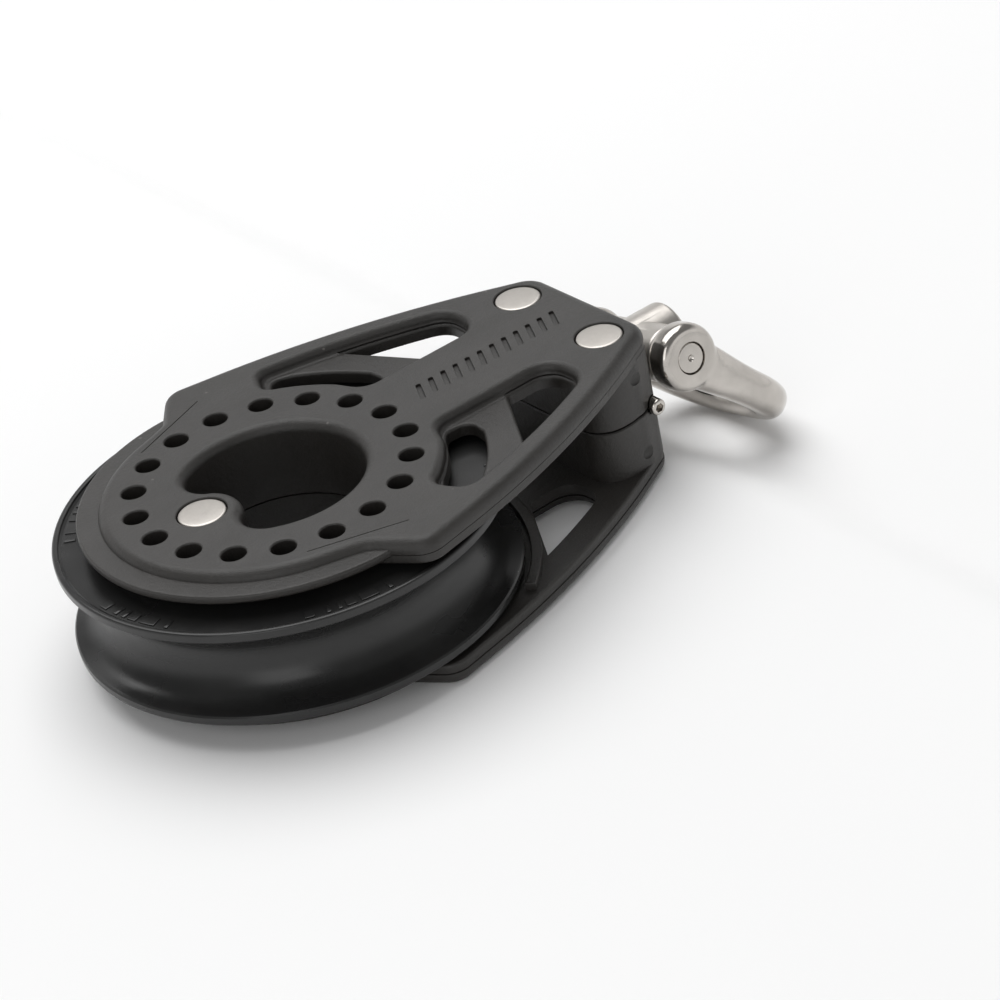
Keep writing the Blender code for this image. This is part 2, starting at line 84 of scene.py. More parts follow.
# Cheeks
PLATE_INSIDE = 9.6
JOINT_GAP = 0.15
PARTING_Z = HALF_WIDTH - 2.5
PLATE_FILLET = 2.0
RING_RADIUS = 28.9
LEDGE_RADIUS, LEDGE_LOW, LEDGE_HIGH = 32.6, 10.85, 12.35
HEAD_REAR_X, HEAD_HALF_WIDTH = 51.5, 18.6
HEAD_END_HALF, HEAD_CORNER = 15.0, 5.0  # half width of the flat end, and its rounding
SIDE_AT_HEAD, SIDE_MIDDLE, SIDE_AT_SHOULDER = (61.5, 17.9), (40.5, 27.85), (10.3, 36.6)
ARM_AT_HEAD, ARM_MIDDLE, ARM_AT_SHOULDER = (46.5, 20.1), (35, 24.8), (20.5, 29.0)
DIMPLE_PLACE, DIMPLE_HALF_SIZE = (61.0, 18.0, 7.2), (2.0, 0.45, 1.1)
POCKET_FLOOR, SPINE_HALF_WIDTH = 11.75, 9.8
LIP_INNER, LIP_OUTER, LIP_LOW = 38.4, 40.2, 8.2
HUB_RADIUS, EYE_RADIUS = 18.2, 15.2
LOBE_RADIUS, LOBE_CENTRE, BOSS_RADIUS = 5.0, Vector((-5.85, 8.36)), 6.6
EYE_FILLET = 1.9
FLUSH_CIRCLE, FLUSH_RADIUS, FLUSH_COUNT = 22.87, 2.1, 18
RIVET_HEAD, RIVET_RECESS, RIVET_SINK = 4.05, 4.4, 1.4
HEAD_SHANK, NOSE_SHANK = 1.95, 2.5

# Sheave and bearing
SHEAVE_SIDE, ROPE_RADIUS = 8.1, 6.9
SHEAVE_BORE, SHEAVE_WEB_BORE, SHEAVE_WEB = 25.15, 20.95, 2.6
BALL_CIRCLE, BALL_HEIGHT, BALL_COUNT = 22.87, 5.0, 12
RACE_BORE, RACE_LAND, RACE_LIP = 18.5, 20.5, 21.5

# Head fittings
SHANK_RADIUS, FLANGE_RADIUS, POST_RADIUS, RUN_GAP = 4.6, 7.3, 5.65, 0.3
FLANGE_FRONT, SEAT_X, POST_END_X = 57.0, 59.2, 82.4
PIN_BOSS_RADIUS, PIN_BOSS_HALF = 5.0, 10.0
PIN_RADIUS, PIN_HOLE = 2.7, 2.9
PIN_HEAD_RADIUS, PIN_HEAD_THICK = 4.8, 2.8

# The post, shackle and pin are turned about x so that the right ear stands high
SWIVEL_ROLL, DROOP = 12.0, 45.0
EAR_RADIUS, EAR_INNER, EAR_OUTER = 6.0, 10.3, 15.5
BAR_RADIUS, BOW_REACH, BOW_HALF_WIDTH, BOW_CORNER = 3.3, 25.9, 12.2, 9.0
ARM_START, ARM_HALF_THICK, ARM_HALF_DEEP = 1.0, 2.75, 4.3
ARM_SQUARENESS, BOW_SQUARENESS = 3.4, 2.2  # 2 is round, and more is squarer
FORGING_VOXEL = 0.27
SCREW_RADIUS = 1.45

ROUND = 128
CUT_PAST = 2.0
JUST_ABOVE = 0.01  # a flare ends this far over the face that it rounds


# Outlines in the xy plane ---------------------------------------------------


def arc(centre, radius, start, end, steps):
    """Points from angle start to angle end, in degrees, about centre."""
    angles = [math.radians(start + (end - start) * i / steps) for i in range(steps + 1)]
    return [Vector((centre[0] + radius * math.cos(a), centre[1] + radius * math.sin(a)))
            for a in angles]


def circle(centre, radius, sides):
    return arc(centre, radius, 0, 360, sides)[:-1]


def arc_through(first, second, last, steps):
    """Points on the circle through three points, from first to last."""
    ax, ay, bx, by, cx, cy = *first, *second, *last
    d = 2 * (ax * (by - cy) + bx * (cy - ay) + cx * (ay - by))
    aa, bb, cc = ax * ax + ay * ay, bx * bx + by * by, cx * cx + cy * cy
    x = (aa * (by - cy) + bb * (cy - ay) + cc * (ay - by)) / d
    y = (aa * (cx - bx) + bb * (ax - cx) + cc * (bx - ax)) / d
    radius = math.hypot(ax - x, ay - y)
    start = math.degrees(math.atan2(ay - y, ax - x))
    end = math.degrees(math.atan2(cy - y, cx - x))
    return arc((x, y), radius, start, end, steps)


def rounded(corners, steps=10):
    """A closed outline from (x, y, radius) corners, each rounded to its radius."""
    outline = []
    for i, (x, y, radius) in enumerate(corners):
        here = Vector((x, y))
        if not radius:
            outline.append(here)
            continue
        before = (Vector(corners[i - 1][:2]) - here).normalized()
        after = (Vector(corners[(i + 1) % len(corners)][:2]) - here).normalized()
        half = before.angle(after) / 2
        hub = here + (before + after).normalized() * radius / math.sin(half)
        start = here + before * radius / math.tan(half) - hub
        end = here + after * radius / math.tan(half) - hub
        turn = start.angle_signed(end)
        outline += [hub + Matrix.Rotation(-turn * k / steps, 2) @ start
                    for k in range(steps + 1)]
    return outline


def sharp(points):
    return [(p[0], p[1], 0) for p in points]


def both_sides(half):
    """Closes a half outline, given from +x to -x at y >= 0, over the x axis."""
    other = [Vector((p[0], -p[1])) for p in reversed(half) if p[1] > 1e-6]
    return list(half) + other


def flipped(outline):
    return [Vector((p[0], -p[1])) for p in reversed(outline)]


def ready(outline):
    """The outline anticlockwise, with points that fall together made one."""
    kept = []
    for point in outline:
        if not kept or (point - kept[-1]).length > 0.02:
            kept.append(Vector(point))
    if (kept[0] - kept[-1]).length < 0.02:
        kept.pop()
    area = sum(a[0] * b[1] - b[0] * a[1] for a, b in zip(kept, kept[1:] + kept[:1]))
    return kept if area > 0 else kept[::-1]


def inset(outline, distance):
    """The outline moved inwards by distance, or outwards where it is negative."""
    shifted = []
    for i, here in enumerate(outline):
        before = (here - outline[i - 1]).normalized()
        after = (outline[(i + 1) % len(outline)] - here).normalized()
        inwards = Vector((-before[1] - after[1], before[0] + after[0]))
        shifted.append(here + inwards * distance / (1 + before.dot(after)))
    return shifted


def side_curve(steps):
    """The gently bowed side of the cheek, from the head to the shoulder."""
    return arc_through(SIDE_AT_HEAD, SIDE_MIDDLE, SIDE_AT_SHOULDER, steps)


def plate_outline():
    head = [(HEAD_END_X, -HEAD_END_HALF, 0), (HEAD_END_X, HEAD_END_HALF, HEAD_CORNER)]
    side = sharp(side_curve(28))
    shoulder = [(3.6, 38.0, 4.2), (-2.6, 29.7, 4.0)]
    nose = sharp(arc((0, 0), RING_RADIUS, 106, 180, 36))
    corners = head + side + shoulder + nose
    return both_sides([p for p in rounded(corners) if p[1] > -1e-6][:-1])


def head_outline():
    side = [(*side_curve(28)[0], 5.0)]
    wall = [(57.5, HEAD_HALF_WIDTH, 11.0), (HEAD_REAR_X, HEAD_HALF_WIDTH - 0.6, 5.0)]
    corners = [(HEAD_END_X, HEAD_END_HALF, HEAD_CORNER)] + side + wall
    mirror = [(x, -y, r) for x, y, r in reversed(corners)]
    return rounded(corners + mirror)


def centre_hole_outline():
    lobe = (LOBE_CENTRE[0], LOBE_CENTRE[1])
    meet = math.degrees(math.atan2(lobe[1], lobe[0] - NOSE_RIVET_X))
    leave = math.degrees(math.atan2(lobe[1], lobe[0]))
    half = arc((0, 0), EYE_RADIUS, 0, leave, 44)
    half += arc(lobe, LOBE_RADIUS, leave, 180 + meet, 20)[1:]
    half += arc((NOSE_RIVET_X, 0), BOSS_RADIUS, meet, 0, 14)[1:]
    return both_sides(half)


def arm_edge(steps):
    """Inner edge of a cheek's arm, from the head towards the shoulder."""
    return arc_through(ARM_AT_HEAD, ARM_MIDDLE, ARM_AT_SHOULDER, steps)


def pocket_outline():
    corners = [(49.7, SPINE_HALF_WIDTH, 4.2), (49.9, 18.4, 4.6)]
    corners += sharp(arm_edge(18))
    corners += [(17.6, 29.7, 2.6), (14.7, 24.1, 2.4)]
    corners += sharp(arc((0, 0), 28.2, 53, 32, 16))
    corners += [(26.0, SPINE_HALF_WIDTH, 3.5)]
    return rounded(corners)


def outer_window_outline():
    gap = 0.5
    corners = [(40.3, SPINE_HALF_WIDTH + gap, 1.4), (49.7 - gap, SPINE_HALF_WIDTH + gap, 3.7)]
    corners += [(49.9 - gap, 18.4 - gap, 4.1)]
    corners += [(p[0], p[1] - gap, 0) for p in arm_edge(18)[:11]]
    return rounded(corners)


def inner_window_outline():
    """A slot that follows the sheave's rim, inside the pocket."""
    near, far = 28.5, 34.7
    corners = sharp(arc((0, 0), far, 27, 50, 18))
    corners += [(19.0, 28.2, 1.9), (16.4, 24.3, 1.5)]
    corners += sharp(arc((0, 0), near, 51, 27, 18))
    corners += [(27.0, 11.0, 1.8), (31.4, 11.4, 2.2)]
    return rounded(corners)


# Solids ---------------------------------------------------------------------


def mesh_object(name, bm):
    """Turns a bmesh in millimetres into an object, faces outwards."""
    bmesh.ops.remove_doubles(bm, verts=bm.verts, dist=1e-4)
    bmesh.ops.recalc_face_normals(bm, faces=bm.faces)
    mesh = bpy.data.meshes.new(name)
    bm.to_mesh(mesh)
    bm.free()
    obj = bpy.data.objects.new(name, mesh)
    bpy.context.scene.collection.objects.link(obj)
    return obj


def bridge(bm, rings):
    """Quads between rings of equal length, with the end rings capped."""
    for one, two in zip(rings, rings[1:]):
        for k in range(len(one)):
            bm.faces.new((one[k - 1], one[k], two[k], two[k - 1]))
    bm.faces.new(rings[0][::-1])
    bm.faces.new(rings[-1])


def lofts(name, shapes):
    """One object of (outline, profile) solids that don't meet, where a profile
    lists (inset, height) from the bottom up."""
    bm = bmesh.new()
    for outline, profile in shapes:
        base = ready(outline)
        rings = [[bm.verts.new((p[0], p[1], z)) for p in inset(base, d)] for d, z in profile]
        bridge(bm, rings)
    return mesh_object(name, bm)


def upper_edge(radius, height, steps=7, side=1):
    """(inset, height) up a quarter round: side 1 rounds the solid's own edge,
    side -1 flares a cutter, which rounds the edge that it cuts."""
    angles = [math.pi / 2 * i / steps for i in range(steps + 1)]
    return [(side * radius * (1 - math.cos(a)), height - radius * (1 - math.sin(a)))
            for a in angles]


def lower_edge(radius, height, steps=5):
    flat = upper_edge(radius, 0, steps)
    return [(d, height - z) for d, z in reversed(flat)]


def flared(low, top, flare, floor_round=0.0):
    """A cutter's profile from low to above top, with a rounded rim at top."""
    start = lower_edge(floor_round, low) if floor_round else [(0, low)]
    rim = upper_edge(flare, top + JUST_ABOVE, side=-1)
    return start + rim + [(-flare, top + CUT_PAST)]


def turned(name, profile, sides=ROUND, axis=Z):
    """Spins a closed (radius, height) profile about an axis."""
    bm = bmesh.new()
    verts = [bm.verts.new((r, 0, h)) for r, h in profile]
    edges = [bm.edges.new((verts[i - 1], verts[i])) for i in range(len(verts))]
    bmesh.ops.spin(bm, geom=verts + edges, cent=(0, 0, 0), axis=(0, 0, 1),
                   angle=2 * math.pi, steps=sides, use_merge=True, use_duplicate=False)
    bmesh.ops.dissolve_degenerate(bm, dist=1e-5, edges=bm.edges)
    bmesh.ops.transform(bm, matrix=AXIS_TURN[axis], verts=bm.verts)
    return mesh_object(name, bm)


AXIS_TURN = {Z: Matrix(), X: Matrix.Rotation(math.pi / 2, 4, "Y"),
             Y: Matrix.Rotation(-math.pi / 2, 4, "X")}


def corner(radius, height, size, outwards, upwards, steps=5):
    """A rounded corner of a (radius, height) profile, from the side on to the
    flat when upwards and outwards are 1; size is its radius."""
    points = []
    for i in range(steps + 1):
        a = math.pi / 2 * i / steps
        points.append((radius - outwards * size * (1 - math.cos(a)),
                       height - upwards * size * (1 - math.sin(a))))
    return points


def moved(obj, offset=(0, 0, 0), turn=None):
    obj.data.transform(Matrix.Translation(offset) @ (turn or Matrix()))
    return obj


def combined(base, operation, others):
    """Applies one exact Boolean for each other solid, and removes them."""
    for other in others:
        modifier = base.modifiers.new(other.name, "BOOLEAN")
        modifier.operation = operation
        modifier.object = other
    bpy.context.view_layer.update()
    graph = bpy.context.evaluated_depsgraph_get()
    mesh = bpy.data.meshes.new_from_object(base.evaluated_get(graph))
    base.modifiers.clear()
    base.data = mesh
    for other in others:
        bpy.data.objects.remove(other)
    return base


def mirrored_copy(name, source):
    """The same solid on the other side of the shared plane."""
    bm = bmesh.new()
    bm.from_mesh(source.data)
    bmesh.ops.scale(bm, vec=(1, 1, -1), verts=bm.verts)
    bmesh.ops.reverse_faces(bm, faces=bm.faces)
    mesh = bpy.data.meshes.new(name)
    bm.to_mesh(mesh)
    bm.free()
    obj = bpy.data.objects.new(name, mesh)
    bpy.context.scene.collection.objects.link(obj)
    return obj


def shaded(obj, sharp_above=32):
    """Smooth shading that keeps flat faces flat and real corners crisp."""
    obj.data.shade_smooth()
    obj.data.set_sharp_from_angle(angle=math.radians(sharp_above))
    weighted = obj.modifiers.new("even shading", "WEIGHTED_NORMAL")
    weighted.keep_sharp = True
    weighted.weight = 80
    return obj


def settle(obj, body, slot, finish, *nodes):
    """Takes a piece from millimetres about the block's centre to its place."""
    obj.data.transform(Matrix.Translation(HOME) @ Matrix.Scale(MM, 4))
    obj.data.materials.clear()
    obj.data.materials.append(finish)
    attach(obj, body)
    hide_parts(*nodes)
    return obj


# Finishes -------------------------------------------------------------------


class Shade:
    """A socket of a material's nodes that takes Python arithmetic."""

    def __init__(self, finish, socket):
        self.finish, self.socket = finish, socket

    def math(self, operation, first, second=0.0):
        return self.finish.node("Math", {"operation": operation}, {0: first, 1: second})

    def __add__(self, other):
        return self.math("ADD", self, other)

    def __radd__(self, other):
        return self.math("ADD", other, self)

    def __sub__(self, other):
        return self.math("SUBTRACT", self, other)

    def __rsub__(self, other):
        return self.math("SUBTRACT", other, self)

    def __mul__(self, other):
        return self.math("MULTIPLY", self, other)

    def __rmul__(self, other):
        return self.math("MULTIPLY", other, self)

    def __pow__(self, other):
        return self.math("POWER", self, other)

    def over(self, edge):
        """1 where the value is above edge."""
        return self.math("GREATER_THAN", self, edge)


class Finish:
    """One material: its Principled shader, and the nodes that feed it."""

    def __init__(self, name, **fixed):
        self.material = bpy.data.materials.new(name)
        self.material.use_nodes = True
        self.tree = self.material.node_tree
        self.shader = self.tree.nodes["Principled BSDF"]
        for socket, value in fixed.items():
            self.shader.inputs[socket.replace("_", " ")].default_value = value
        self.place = self.node("TexCoord", out="Object")

    def node(self, kind, settings=None, sockets=None, out=0):
        """Adds a node: its settings first, then its sockets' values or links."""
        made = self.tree.nodes.new("ShaderNode" + kind)
        for name, value in (settings or {}).items():
            if name == "stops":
                self.set_stops(made.color_ramp, value)
            else:
                setattr(made, name, value)
        for key, value in (sockets or {}).items():
            if isinstance(value, Shade):
                self.tree.links.new(value.socket, made.inputs[key])
            else:
                made.inputs[key].default_value = value
        return Shade(self, made.outputs[out])

    @staticmethod
    def set_stops(ramp, stops):
        while len(ramp.elements) < len(stops):
            ramp.elements.new(0.5)
        for element, (position, value) in zip(ramp.elements, stops):
            element.position = position
            element.color = (*value, 1.0) if isinstance(value, tuple) else (value,) * 3 + (1.0,)

    def noise(self, scale, detail=2.0, roughness=0.5, stretch=None):
        """Noise from 0 to 1; stretch scales the coordinates per axis first."""
        place = self.place
        if stretch:
            place = self.node("Mapping", None, {"Vector": place, "Scale": stretch})
        return self.node("TexNoise", None, {"Vector": place, "Scale": scale, "Detail": detail,
                                            "Roughness": roughness})

    def specks(self, scale, size, share):
        """1 on small dots, one in a share of the cells that are scale to a metre."""
        cells = self.node("TexVoronoi", None, {"Vector": self.place, "Scale": scale})
        pick = self.node("TexVoronoi", None, {"Vector": self.place, "Scale": scale},
                         out="Color")
        chosen = self.node("SeparateColor", None, {0: pick}).over(1 - share)
        return (1 - cells.over(size)) * chosen

    def between(self, amount, first, second):
        """A colour between two, as amount goes from 0 to 1."""
        return self.node("Mix", {"data_type": "RGBA"},
                         {0: amount, 6: (*first, 1.0), 7: (*second, 1.0)}, out=2)

    def over(self, amount, below, color):
        return self.node("Mix", {"data_type": "RGBA"}, {0: amount, 6: below, 7: (*color, 1.0)},
                         out=2)

    def span(self, value, low, high, to_low, to_high):
        """Moves a value from one range to another, and clamps it there."""
        return self.node("MapRange", None, {0: value, 1: low, 2: high, 3: to_low, 4: to_high})

    def bump(self, height, distance, strength=1.0, below=None):
        sockets = {"Height": height, "Distance": distance, "Strength": strength}
        if below:
            sockets["Normal"] = below
        return self.node("Bump", None, sockets)

    def feed(self, **links):
        for name, value in links.items():
            self.tree.links.new(value.socket, self.shader.inputs[name.replace("_", " ")])
        return self.material


class Sky(Finish):
    """White surroundings, bright along the horizon and dimmer above it."""

    def __init__(self, horizon, above):
        world = bpy.data.worlds.new("studio")
        bpy.context.scene.world = world
        world.use_nodes = True
        self.tree = world.node_tree
        place = self.node("TexCoord")
        height = self.node("SeparateXYZ", None, {0: place}, out="Z")
        strength = self.span(height, 0.25, 0.5, horizon, above)
        self.tree.links.new(strength.socket, self.tree.nodes["Background"].inputs["Strength"])
        self.tree.nodes["Background"].inputs["Color"].default_value = (1.0, 1.0, 1.0, 1.0)


def cheek_nylon():
    """Glass-filled nylon: fine sparked grain, faint flow marks, dust specks."""
    finish = Finish("cheek_nylon_moulded", IOR=1.5, Specular_IOR_Level=0.5)
    cloud = finish.noise(70, 4, 0.55)
    flow = finish.noise(45, 3, 0.6, stretch=(1.0, 3.5, 1.0))
    grain = finish.noise(5200, 3, 0.7)
    coarse = finish.noise(1500, 2, 0.5)
    dust = finish.specks(420, 0.11, 0.035)
    color = finish.between(finish.span(cloud, 0.3, 0.7, 0, 1), (0.0165, 0.0150, 0.0132),
                           (0.0245, 0.0222, 0.0198))
    color = finish.over(dust * 0.5, color, (0.16, 0.15, 0.14))
    roughness = finish.span(flow, 0.25, 0.75, 0.38, 0.50) + (grain - 0.5) * 0.10
    fine = finish.bump(grain, 0.00006, 0.8)
    bumped = finish.bump(coarse, 0.00012, 0.5, fine)
    return finish.feed(Base_Color=color, Roughness=roughness, Normal=bumped)


def sheave_acetal():
    """Smooth satin resin with cloudy gloss and faint rings from the mould."""
    finish = Finish("sheave_resin_satin", IOR=1.48)
    parts = finish.node("SeparateXYZ", None, {0: finish.place}, out="X")
    across = finish.node("SeparateXYZ", None, {0: finish.place}, out="Y")
    height = finish.node("SeparateXYZ", None, {0: finish.place}, out="Z")
    east = parts - HOME[X]
    radius = (east * east + across * across) ** 0.5
    rings = finish.node("TexNoise", {"noise_dimensions": "1D"},
                        {"W": radius + height * 0.8, "Scale": 2600.0, "Detail": 2.0})
    cloud = finish.noise(55, 4, 0.6)
    streak = finish.noise(38, 3, 0.55, stretch=(1.0, 1.0, 5.0))
    dust = finish.specks(380, 0.10, 0.03)
    color = finish.between(finish.span(cloud, 0.3, 0.7, 0, 1), (0.0105, 0.0105, 0.0105),
                           (0.0185, 0.0185, 0.0180))
    color = finish.over(dust * 0.5, color, (0.20, 0.20, 0.19))
    roughness = finish.span(streak, 0.3, 0.7, 0.22, 0.38) + (cloud - 0.5) * 0.16
    bumped = finish.bump(rings, 0.00004, 0.22)
    soft = finish.bump(finish.noise(160, 2, 0.5), 0.0003, 0.10, bumped)
    return finish.feed(Base_Color=color, Roughness=roughness, Normal=soft)


def polished_stainless():
    """Tumbled and polished forging: soft ripple, hairlines and dull patches."""
    finish = Finish("polished_stainless_steel", Metallic=1.0)
    patch = finish.noise(170, 4, 0.6)
    ripple = finish.noise(260, 2, 0.5)
    hair = finish.noise(900, 3, 0.7, stretch=(0.35, 5.0, 5.0))
    color = finish.between(finish.span(patch, 0.3, 0.75, 0, 1), (0.56, 0.53, 0.495),
                           (0.44, 0.415, 0.385))
    roughness = finish.span(patch, 0.35, 0.7, 0.10, 0.24) + (hair - 0.5) * 0.06
    wavy = finish.bump(ripple, 0.00022, 0.35)
    fine = finish.bump(hair, 0.00002, 0.35, wavy)
    return finish.feed(Base_Color=color, Roughness=roughness, Normal=fine)


def satin_stainless():
    """Machined and tumbled stainless: even satin with short cross marks."""
    finish = Finish("satin_stainless_steel", Metallic=1.0)
    patch = finish.noise(220, 4, 0.6)
    marks = finish.noise(1500, 3, 0.7, stretch=(4.0, 0.6, 4.0))
    grain = finish.noise(6000, 2, 0.6)
    color = finish.between(finish.span(patch, 0.3, 0.7, 0, 1), (0.58, 0.55, 0.515),
                           (0.46, 0.435, 0.405))
    roughness = finish.span(patch, 0.3, 0.7, 0.30, 0.40) + (marks - 0.5) * 0.10
    fine = finish.bump(grain, 0.00002, 0.4)
    bumped = finish.bump(marks, 0.00003, 0.35, fine)
    return finish.feed(Base_Color=color, Roughness=roughness, Normal=bumped)


def bearing_resin(name, pale, dark, roughness_low, roughness_high):
    """Moulded bearing resin, slightly cloudy."""
    finish = Finish(name, IOR=1.5)
    cloud = finish.noise(300, 3, 0.55)
    grain = finish.noise(4000, 2, 0.6)
    color = finish.between(finish.span(cloud, 0.3, 0.7, 0, 1), pale, dark)
    roughness = finish.span(cloud, 0.3, 0.7, roughness_low, roughness_high)
    return finish.feed(Base_Color=color, Roughness=roughness,
                       Normal=finish.bump(grain, 0.00003, 0.3))


def stage_paper():
    """Plain pale studio paper."""
    finish = Finish("studio_board", Roughness=0.8)
    tone = finish.noise(6, 2, 0.5)
    color = finish.between(tone, (0.90, 0.90, 0.90), (0.93, 0.93, 0.93))
    return finish.feed(Base_Color=color)


NYLON = cheek_nylon()
ACETAL = sheave_acetal()
POLISHED = polished_stainless()
SATIN = satin_stainless()
RACE = bearing_resin("race_resin_pale", (0.50, 0.47, 0.40), (0.40, 0.37, 0.31), 0.35, 0.5)
BALL = bearing_resin("ball_resin_amber", (0.30, 0.20, 0.09), (0.24, 0.15, 0.06), 0.18, 0.3)
CAGE = bearing_resin("cage_resin_black", (0.026, 0.026, 0.026), (0.036, 0.036, 0.036), 0.35, 0.5)


# Cheeks ---------------------------------------------------------------------


def cheek_body():
    groove = [(0.10, PARTING_Z - 0.10), (0.26, PARTING_Z - 0.04), (0.26, PARTING_Z + 0.04),
              (0.0, PARTING_Z + 0.10)]
    side = lower_edge(0.6, PLATE_INSIDE)[:-1] + [(0.06, PLATE_INSIDE + 0.8)]
    plate = lofts("upper_cheek_moulding",
                  [(plate_outline(), side + groove + upper_edge(PLATE_FILLET, HALF_WIDTH, 9))])
    ledge = turned("ledge", [(26.5, LEDGE_LOW)] + corner(LEDGE_RADIUS, LEDGE_LOW, 0.5, 1, -1)[::-1]
                   + corner(LEDGE_RADIUS, LEDGE_HIGH, 0.45, 1, 1) + [(26.5, LEDGE_HIGH)])
    sector = arc((0, 0), LIP_INNER, -52, 52, 60) + arc((0, 0), LIP_OUTER, 52, -52, 60)
    lip = lofts("lip", [(sector, lower_edge(0.3, LIP_LOW, 3) + [(0, PLATE_INSIDE + 0.9)])])
    hub = lofts("hub", [(circle((0, 0), HUB_RADIUS, ROUND), [(0, JOINT_GAP), (0, 10.0)])])
    head = lofts("head", [(head_outline(),
                           [(0.2, JOINT_GAP), (0, JOINT_GAP + 0.2), (0, PLATE_INSIDE + 0.7)])])
    return combined(plate, "UNION", [ledge, lip, hub, head])


def rivet_spots():
    left = Vector((HEAD_RIVET[X], HEAD_RIVET[Y]))
    right = Vector((HEAD_RIVET[X], -HEAD_RIVET[Y]))
    return {"nose_rivet": (Vector((NOSE_RIVET_X, 0)), NOSE_SHANK),
            "head_rivet_left": (left, HEAD_SHANK), "head_rivet_right": (right, HEAD_SHANK)}


def spine_marks():
    """A rope-lay row of slanted strokes sunk in the spine."""
    first, pitch, strokes, half_height, slant, width = 30.0, 2.6, 12, 2.3, 1.1, 0.95
    shapes = []
    for i in range(strokes):
        x = first + pitch * i
        stroke = rounded([(x - slant, -half_height, 0.25), (x - slant + width, -half_height, 0.25),
                          (x + slant + width, half_height, 0.25), (x + slant, half_height, 0.25)],
                         3)
        shapes.append((stroke, flared(HALF_WIDTH - 0.45, HALF_WIDTH, 0.12)))
    return lofts("strokes", shapes)


def witness_groove():
    """The fine line left by the mould's insert round the nose."""
    shapes = []
    for side in (1, -1):
        path = [Vector((5.5, 30.2 * side)), Vector((-9.9, 24.1 * side))]
        across = (path[1] - path[0]).normalized().orthogonal() * 0.09
        shapes.append(([path[0] + across, path[1] + across, path[1] - across, path[0] - across],
                       [(0, HALF_WIDTH - 0.14), (0, HALF_WIDTH + 1)]))
    return lofts("witness", shapes)


def upper_cheek():
    body = cheek_body()
    top = HALF_WIDTH
    eye = lofts("eye", [(centre_hole_outline(), flared(-CUT_PAST, top, EYE_FILLET))])
    flush = []
    for i in range(FLUSH_COUNT):
        angle = 2 * math.pi * i / FLUSH_COUNT
        spot = Vector((math.cos(angle), math.sin(angle))) * FLUSH_CIRCLE
        flush.append((circle(spot, FLUSH_RADIUS - 0.05, 36), flared(PLATE_INSIDE - 1, top, 0.4)))
    shanks, recesses = [], []
    for spot, shank in rivet_spots().values():
        shanks.append((circle(spot, shank + 0.15, 32), [(0, -CUT_PAST), (0, top + CUT_PAST)]))
        recesses.append((circle(spot, RIVET_RECESS - 0.2, 56),
                         flared(top - RIVET_SINK, top, 0.28)))
    pocket = pocket_outline()
    pockets = [(o, flared(POCKET_FLOOR, top, 1.5, 0.8)) for o in (pocket, flipped(pocket))]
    windows = []
    for outline in (outer_window_outline(), inner_window_outline()):
        windows += [(o, flared(LIP_LOW - 1, POCKET_FLOOR, 0.6)[:-1] + [(-0.6, POCKET_FLOOR + 0.3)])
                    for o in (outline, flipped(outline))]
    cavity = [(0, POST_REAR - RUN_GAP), (FLANGE_RADIUS + RUN_GAP, POST_REAR - RUN_GAP),
              (FLANGE_RADIUS + RUN_GAP, SEAT_X), (SHANK_RADIUS + RUN_GAP, SEAT_X),
              (SHANK_RADIUS + RUN_GAP, HEAD_END_X - 0.6), (SHANK_RADIUS + 0.9, HEAD_END_X + 0.01),
              (SHANK_RADIUS + 0.9, HEAD_END_X + CUT_PAST), (0, HEAD_END_X + CUT_PAST)]
    screw_way = turned("screw_way", [(0, -22.0), (SCREW_RADIUS + 0.2, -22.0),
                                     (SCREW_RADIUS + 0.2, -2.0), (0, -2.0)], 32, Y)
    dimple = bpy.data.objects.new("dimple", bpy.data.meshes.new("dimple"))
    bpy.context.scene.collection.objects.link(dimple)
    bm = bmesh.new()
    x, y, z = DIMPLE_PLACE
    for side in (1, -1):
        spot = Matrix.Translation((x, side * y, z)) @ Matrix.Diagonal((*DIMPLE_HALF_SIZE, 1))
        bmesh.ops.create_icosphere(bm, subdivisions=4, radius=1.0, matrix=spot)
    bm.to_mesh(dimple.data)
    bm.free()
    cutters = [eye, lofts("flush", flush), lofts("shanks", shanks), lofts("recesses", recesses),
               lofts("pockets", pockets), lofts("windows", windows),
               turned("cavity", cavity, 64, X), moved(screw_way, (SCREW_X, 0, 0)), dimple,
               spine_marks(), witness_groove()]
    return combined(body, "DIFFERENCE", cutters)


def make_cheeks():
    upper = shaded(upper_cheek())
    lower = shaded(mirrored_copy("lower_cheek_moulding", upper))
    settle(upper, "frame", "cheek_nylon", NYLON, "upper_cheek")
    settle(lower, "frame", "cheek_nylon", NYLON, "lower_cheek")


# Sheave and bearing ---------------------------------------------------------


def flange_marks():
    """Low raised dashes round both flanges, in groups."""
    inner, outer, low, high = 33.6, 35.6, SHEAVE_SIDE - 0.2, SHEAVE_SIDE + 0.22
    shapes = []
    for group in range(6):
        for place, spread in ((0, 1.3), (5, 0.55), (8, 0.55), (11, 1.3), (16, 2.4), (22, 0.55)):
            angle = group * 60 + place + 3
            dash = arc((0, 0), inner, angle - spread, angle + spread, 4)
            dash += arc((0, 0), outer, angle + spread, angle - spread, 4)
            shapes.append((dash, [(0, low)] + upper_edge(0.15, high, 2)))
    return lofts("marks", shapes)


